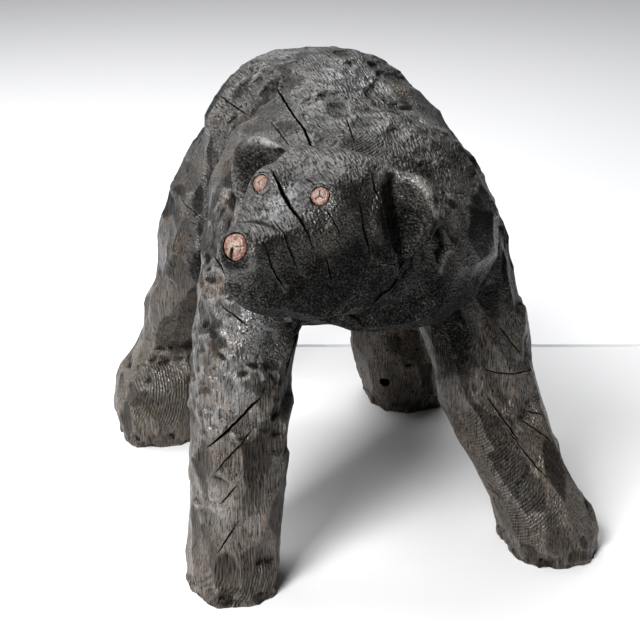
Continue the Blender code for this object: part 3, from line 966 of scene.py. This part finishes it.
def blackened_wood():
    """Burnt and oiled wood: painted shade black in the hollows, creases and cracks, ridges lighter as wear and
    painted highlight, a painted sheen in patches, worn to brown on the legs.
    """
    n = Nodes("blackened_wood")
    at = n.add("TexCoord").outputs["Object"]
    ridge, swell, on_legs = n.field("ridge"), n.field("swell"), n.field("on_legs")
    on_head = n.field("on_head")
    wave = n.math("COSINE", n.times(n.field("chatter_phase"), 2 * math.pi))
    dip = n.times(n.math("MULTIPLY_ADD", wave, -0.5, 0.5), n.field("chatter"))
    # Grain in long streaks, along the log through the trunk and head or down the legs.
    along_log = n.noise(n.stretch(at, (1, 0.040, 1), LOG_TILT), GRAIN_SCALE, 2.0, 0.6)
    along_legs = n.noise(n.stretch(at, (1, 1, 0.07)), LEG_GRAIN_SCALE, 2.0, 0.55)
    grain = n.mix(on_legs, along_log, along_legs)
    broad = n.noise(at, 13.0, 3.0, 0.6)
    blotch = n.noise(at, 70.0, 4.0, 0.65)
    speck = n.noise(at, 420.0, 2.0, 0.5)
    # Char and painted shade: dark and dull under the bear, as painted shade on the surfaces that face down, and
    # on its cheeks and in the listed patches, partly thick char and partly painted shade.
    painted_underside_shade = n.step(n.math("ADD", n.field("up"), n.times(n.math("SUBTRACT", broad, 0.5), 0.5)),
                       0.10, -0.22)
    char_and_painted_shade = n.math("MAXIMUM", n.times(painted_underside_shade, n.mix(on_legs, 1.0, 0.35)), n.field("char_and_painted_shade"))
    # Colour: black with grey fibres, painted facet shading, a painted sheen in patches, ridges lighter as wear
    # and painted highlight, brown where it has worn through.
    fibre = n.math("ADD", n.times(grain, 0.75), n.times(blotch, 0.25))
    light = n.times(n.step(fibre, 0.38, 0.66), n.mix(n.step(broad, 0.36, 0.62), 0.35, 1.0))
    colour = n.blend(light, (0.0085, 0.0078, 0.0070), (0.060, 0.056, 0.051))
    # Painted facet shading: each facet lighter or darker at random and lighter towards its near end, less on
    # the head.
    tone = n.times(n.field("tone"), n.mix(on_head, 1.0, 0.35))
    painted_lit_facet = n.times(n.step(tone, 0.0, 1.1), n.step(fibre, 0.34, 0.56))
    gloss_and_painted_sheen = n.field("gloss_and_painted_sheen")
    # Painted sheen: the glossy patches are painted silvery grey.
    painted_sheen = n.times(gloss_and_painted_sheen, n.step(fibre, 0.36, 0.60))
    # Ridges lighter: partly worn char, partly painted highlight.
    worn_and_highlit_ridge = n.times(n.step(ridge, 0.15, 0.9), n.step(blotch, 0.36, 0.60))
    brown = n.times(n.step(n.noise(at, 19.0, 3.0, 0.6), 0.48, 0.62), n.step(grain, 0.42, 0.62))
    brown = n.times(brown, n.mix(on_legs, 0.30, 1.0))
    # The feet are dusty and the char on them has worn to brown.
    height = n.add("SeparateXYZ", Vector=at).outputs["Z"]
    dusty = n.times(n.step(height, 0.44, 0.06), n.step(fibre, 0.24, 0.64))
    for place, share, tint in ((painted_lit_facet, 0.45, (0.150, 0.145, 0.138)), (painted_sheen, 0.60, (0.160, 0.160, 0.164)),
                               (worn_and_highlit_ridge, 0.65, (0.190, 0.183, 0.172)), (brown, 0.8, (0.100, 0.067, 0.040)),
                               (n.step(speck, 0.66, 0.74), 0.3, (0.180, 0.172, 0.160)),
                               (dusty, 0.64, (0.150, 0.122, 0.096))):
        colour = n.blend(n.times(place, share), colour, tint)
    # Dark: painted shade in the hollows, the creases between facets, the saw marks' troughs and inside the
    # cracks, holes and sockets, the dark side of the painted facet shading, black specks, and the char with its
    # painted shade.
    darks = [n.times(n.step(swell, 0.0, -0.75), n.mix(gloss_and_painted_sheen, 0.80, 0.25)),
             n.times(n.step(tone, 0.1, -1.1), 0.70),
             n.times(n.step(ridge, -0.12, -0.70), n.mix(gloss_and_painted_sheen, 0.85, 0.40)),
             n.times(n.step(dip, 0.25, 0.8), 0.45),
             n.times(n.step(speck, 0.38, 0.30), 0.8),
             n.times(char_and_painted_shade, n.mix(n.step(fibre, 0.46, 0.66), 0.93, 0.45)),
             n.step(n.field("deep"), 0.02, 0.25)]
    dark = darks[0]
    for other in darks[1:]:
        dark = n.math("MAXIMUM", dark, other)
    colour = n.blend(dark, colour, (0.0012, 0.0011, 0.0010))
    n.feed(n.shader.inputs["Base Color"], colour)
    # Gloss: the burnt skin shines on the proud facets and is dull in the dark and torn places.
    shine = n.times(n.math("SUBTRACT", 1.0, dark), n.step(fibre, 0.30, 0.52))
    n.feed(n.shader.inputs["Roughness"], n.math("MULTIPLY_ADD", gloss_and_painted_sheen, -0.05, n.mix(shine, 0.60, 0.29)))
    n.feed(n.shader.inputs["Specular IOR Level"], n.mix(shine, 0.06, n.mix(gloss_and_painted_sheen, 0.55, 1.0)))
    # Fine relief: grain lines, lumps and pits.
    normal = n.bump(dip, -0.0008)
    lines = n.mix(on_legs, n.noise(n.stretch(at, (1, 0.05, 1), LOG_TILT), LINE_SCALE, 1.0, 0.4),
                  n.noise(n.stretch(at, (1, 1, 0.08)), LINE_SCALE, 1.0, 0.4))
    normal = n.bump(lines, 0.0024, normal)
    normal = n.bump(n.noise(at, 110.0, 1.0, 0.5), 0.0016, normal)
    pits = n.step(n.noise(at, 160.0, 1.0, 0.5), 0.66, 0.76)
    normal = n.bump(n.times(pits, -1.0), 0.0010, normal)
    n.feed(n.shader.inputs["Normal"], normal)
    return n.material


def branch_wood():
    """End grain of a peeled branch: rings round a dark pith, reddish outside and greyer in the middle, with
    painted shade in its splits.
    """
    n = Nodes("branch_wood")
    at = n.add("TexCoord").outputs["Object"]
    out, sunk = n.field("from_pith"), n.field("sunk")
    blotch = n.noise(at, 320.0, 4.0, 0.65)
    uneven = n.math("SUBTRACT", n.noise(at, 140.0, 3.0, 0.6), 0.5)
    wobble = n.math("ADD", out, n.times(uneven, 0.16))
    rings = n.math("MULTIPLY_ADD", n.math("SINE", n.times(wobble, 34.0)), 0.5, 0.5)
    colour = n.blend(n.step(blotch, 0.38, 0.64), (0.080, 0.038, 0.027), (0.260, 0.150, 0.115))
    middle = n.times(n.step(wobble, 0.62, 0.30), 0.7)
    colour = n.blend(middle, colour, (0.255, 0.205, 0.170))
    colour = n.blend(n.times(rings, 0.30), colour, (0.060, 0.028, 0.020))
    colour = n.blend(n.times(n.step(wobble, 0.86, 1.0), 0.75), colour, (0.035, 0.014, 0.010))
    # Painted shade in the sunk splits, and the pith's own dark in its pit.
    colour = n.blend(n.times(sunk, 0.92), colour, (0.012, 0.008, 0.006))
    n.feed(n.shader.inputs["Base Color"], colour)
    n.feed(n.shader.inputs["Roughness"], n.mix(blotch, 0.22, 0.50))
    normal = n.bump(rings, 0.0003)
    normal = n.bump(blotch, 0.0005, normal)
    n.feed(n.shader.inputs["Normal"], normal)
    return n.material


# ---- the plugs

PLUG_SPOKES = 72
PLUG_RINGS = 22
# Splits in each plug's end: the bearing in degrees, half-width and depth in mm, and how far in and out.
Split = namedtuple("Split", "bearing width depth inner outer")
SPLITS = {
    "right_eye_plug": [Split(80, 0.5, 1.2, 0.0, 0.5), Split(200, 0.4, 0.9, 0.0, 0.4),
                       Split(320, 0.4, 0.9, 0.05, 0.45)],
    "left_eye_plug": [Split(95, 0.5, 1.3, 0.0, 0.55), Split(215, 0.5, 1.3, 0.0, 0.6),
                      Split(330, 0.5, 1.2, 0.0, 0.5)],
    "nose_plug": [Split(262, 1.5, 5.0, 0.10, 0.95), Split(15, 0.5, 1.5, 0.2, 0.8),
                  Split(120, 0.4, 1.2, 0.3, 0.9), Split(205, 0.5, 1.6, 0.35, 1.0)],
}
# The end's radius as a share of the solid plug's, its rings' and pith's sizes, and how deep a split or
# the pith's pit is when it is wholly dark: painted shade in a split, the pith's own dark in its pit.
END_SHARE = 0.985
RING_PITCH = 0.0019
RING_HEIGHT = 0.00018
PITH_DEPTH = 0.0010
PITH_RADIUS = 0.0011
SUNK = 0.0009


def plug_end(name):
    """A detailed plug in place of the plain one: a domed end with rings, a pith and splits."""
    plug = PLUGS[name]
    rng = np.random.default_rng(len(name))
    axis = np.array(plug.axis)
    up = unit(np.array(FACE.col[2][:3]) - axis * np.dot(FACE.col[2][:3], axis))
    across = np.cross(up, axis)
    radius = plug.radius * END_SHARE
    spin = np.arange(PLUG_SPOKES) * 2 * np.pi / PLUG_SPOKES
    edge = 0.97 + 0.022 * np.sin(3 * spin + rng.uniform(0, 6)) + 0.015 * np.sin(5 * spin + rng.uniform(0, 6))

    def ring(out, rise):
        return (np.array(plug.inner) + np.outer(rise, axis) + np.outer(out * np.cos(spin), across)
                + np.outer(out * np.sin(spin), up))

    rows = []
    for share in np.linspace(0, 1, PLUG_RINGS) ** 0.8:
        out = share * radius * edge
        rise = plug.length - plug.dome * (1 - math.sqrt(max(0.0, 1 - share**2)))
        rise += RING_HEIGHT * np.sin(2 * np.pi * out / RING_PITCH) * (1 - share) ** 0.5
        pit = PITH_DEPTH * np.exp(-((out / PITH_RADIUS) ** 2))
        for split in SPLITS[name]:
            turn = np.angle(np.exp(1j * (spin - math.radians(split.bearing))))
            off = turn * out
            ahead = np.abs(turn) < 1.2
            reach = ramp(split.inner - 0.05, split.inner + 0.1, share)
            reach *= ramp(split.outer + 0.08, split.outer - 0.08, share)
            pit = pit + ahead * reach * split.depth / 1000 * np.exp(-((off * 1000 / split.width) ** 2))
        rows.append((ring(out, rise - pit), np.full(PLUG_SPOKES, share), np.clip(pit / SUNK, 0, 1)))
    for back in (plug.dome + 0.001, plug.length * 0.6, plug.length - 0.0005):
        side = ring(radius * edge, np.full(PLUG_SPOKES, plug.length - back))
        rows.append((side, np.ones(PLUG_SPOKES), np.zeros(PLUG_SPOKES)))
    bm = bmesh.new()
    tip = rows[0][0].mean(axis=0)
    rings = [[bm.verts.new(tip)]] + [[bm.verts.new(p) for p in row[0]] for row in rows[1:]]
    count = PLUG_SPOKES
    for i in range(count):
        bm.faces.new((rings[0][0], rings[1][i], rings[1][(i + 1) % count]))
    for one, two in zip(rings[1:], rings[2:]):
        for i in range(count):
            j = (i + 1) % count
            bm.faces.new((one[i], two[i], two[j], one[j]))
    bm.faces.new(rings[-1][::-1])
    bmesh.ops.recalc_face_normals(bm, faces=bm.faces)
    mesh = mesh_of(bm, name + "_end")
    share = np.concatenate([[0.0], *(row[1] for row in rows[1:])])
    sunk = np.concatenate([[1.0], *(row[2] for row in rows[1:])])
    add_field(mesh, "from_pith", share)
    add_field(mesh, "sunk", sunk)
    mesh.polygons.foreach_set("use_smooth", [True] * (len(mesh.polygons) - 1) + [False])
    piece = new_piece(name + "_end", mesh)
    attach(piece, "root")
    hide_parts(name)
    return piece


# ---- the studio

# The camera looks at a place measured from the floor under the carving's middle.
CAMERA_AIM = Vector((-0.037, 0.011, 0.301))
CAMERA_AZIMUTH = math.radians(16)
CAMERA_ELEVATION = math.radians(22)
CAMERA_DISTANCE = 2.078


def aimed(obj, aim, azimuth, elevation, distance):
    back = Vector((math.sin(azimuth) * math.cos(elevation), -math.cos(azimuth) * math.cos(elevation),
                   math.sin(elevation)))
    obj.location = FLOOR_MIDDLE + aim + back * distance
    obj.rotation_mode = "QUATERNION"
    obj.rotation_quaternion = (-back).to_track_quat("-Z", "Y")
    bpy.context.scene.collection.objects.link(obj)


def camera():
    data = bpy.data.cameras.new("camera")
    data.lens = 50
    data.sensor_width = 24
    obj = bpy.data.objects.new("camera", data)
    aimed(obj, CAMERA_AIM, -CAMERA_AZIMUTH, CAMERA_ELEVATION, CAMERA_DISTANCE)
    bpy.context.scene.camera = obj


LIGHTS_AIM = Vector((0, 0, 0.35))


def softbox(name, azimuth, elevation, distance, size, watts):
    """A rectangular light aimed at the carving. Its azimuth is from the camera's, negative to the left."""
    data = bpy.data.lights.new(name, "AREA")
    data.shape = "RECTANGLE"
    data.size, data.size_y = size
    data.energy = watts
    obj = bpy.data.objects.new(name, data)
    obj.visible_camera = False
    aimed(obj, LIGHTS_AIM, math.radians(azimuth) - CAMERA_AZIMUTH, math.radians(elevation), distance)


# Which way the wall is, how far behind the carving its foot is, how thick that is and how it glows,
# how far the pale set reaches, and how bright the room and the wall are.
WALL_WAY = (-0.35, 0.90, 0.25)
WALL_LINE = 0.60
WALL_FOOT = 0.005
FOOT_GLOW = 0.05
FLOOR_REACH = 20
FOOT_REACH = 8
ROOM = 0.070
WALL = 0.5


def world():
    """A dim room with a pale wall behind the carving, faded one into the other."""
    sky = bpy.data.worlds.new("studio")
    sky.use_nodes = True
    nodes, links = sky.node_tree.nodes, sky.node_tree.links
    background = nodes["Background"]
    place, dot = nodes.new("ShaderNodeTexCoord"), nodes.new("ShaderNodeVectorMath")
    fade = nodes.new("ShaderNodeMapRange")
    dot.operation = "DOT_PRODUCT"
    dot.inputs[1].default_value = WALL_WAY
    links.new(place.outputs["Generated"], dot.inputs[0])
    links.new(dot.outputs["Value"], fade.inputs["Value"])
    for socket, value in (("From Min", 0.0), ("From Max", 0.8), ("To Min", ROOM), ("To Max", WALL)):
        fade.inputs[socket].default_value = value
    links.new(fade.outputs["Result"], background.inputs["Strength"])
    background.inputs["Color"].default_value = (0.97, 0.98, 1, 1)
    bpy.context.scene.world = sky


def pale(name, colour, corners, lift=0.0, glow=0.0):
    """A flat pale piece of the set, its corners in m right and away from the middle under the carving."""
    bm = bmesh.new()
    turn = Matrix.Rotation(-CAMERA_AZIMUTH, 3, "Z")
    verts = [bm.verts.new(FLOOR_MIDDLE + turn @ Vector((x, y, lift))) for x, y in corners]
    slab = bm.faces.new(verts)
    if lift:
        side = bmesh.ops.extrude_face_region(bm, geom=[slab])
        for v in (g for g in side["geom"] if isinstance(g, bmesh.types.BMVert)):
            v.co.z = FLOOR_MIDDLE.z
        bmesh.ops.recalc_face_normals(bm, faces=bm.faces)
    piece = new_piece(name, mesh_of(bm, name))
    n = Nodes(name)
    n.shader.inputs["Base Color"].default_value = (*colour, 1)
    n.shader.inputs["Roughness"].default_value = 0.6
    n.shader.inputs["Emission Strength"].default_value = glow
    piece.data.materials.append(n.material)


def rectangle(half_width, near, far):
    return [(-half_width, near), (half_width, near), (half_width, far), (-half_width, far)]


def studio():
    pale("floor", (0.79, 0.79, 0.795), rectangle(FLOOR_REACH, -FLOOR_REACH, FLOOR_REACH))
    pale("wall_foot", (0.86, 0.86, 0.87), rectangle(FOOT_REACH, WALL_LINE, WALL_LINE + FOOT_REACH),
         WALL_FOOT, FOOT_GLOW)
    world()
    softbox("key", -30, 44, 3.2, (1.1, 1.1), 108)
    softbox("low", -32, 16, 3.0, (0.6, 1.2), 40)
    softbox("left", -100, 35, 3.0, (1.5, 2.0), 24)
    softbox("far", -155, 60, 4.5, (3.5, 3.5), 120)
    bpy.context.scene.view_settings.view_transform = "Standard"
    bpy.context.scene.view_settings.look = "Medium High Contrast"


camera()
studio()
bear = carving()
bear.data.materials.clear()
bear.data.materials.append(blackened_wood())
plug_wood = branch_wood()
for plug_name in PLUGS:
    plug_end(plug_name).data.materials.append(plug_wood)
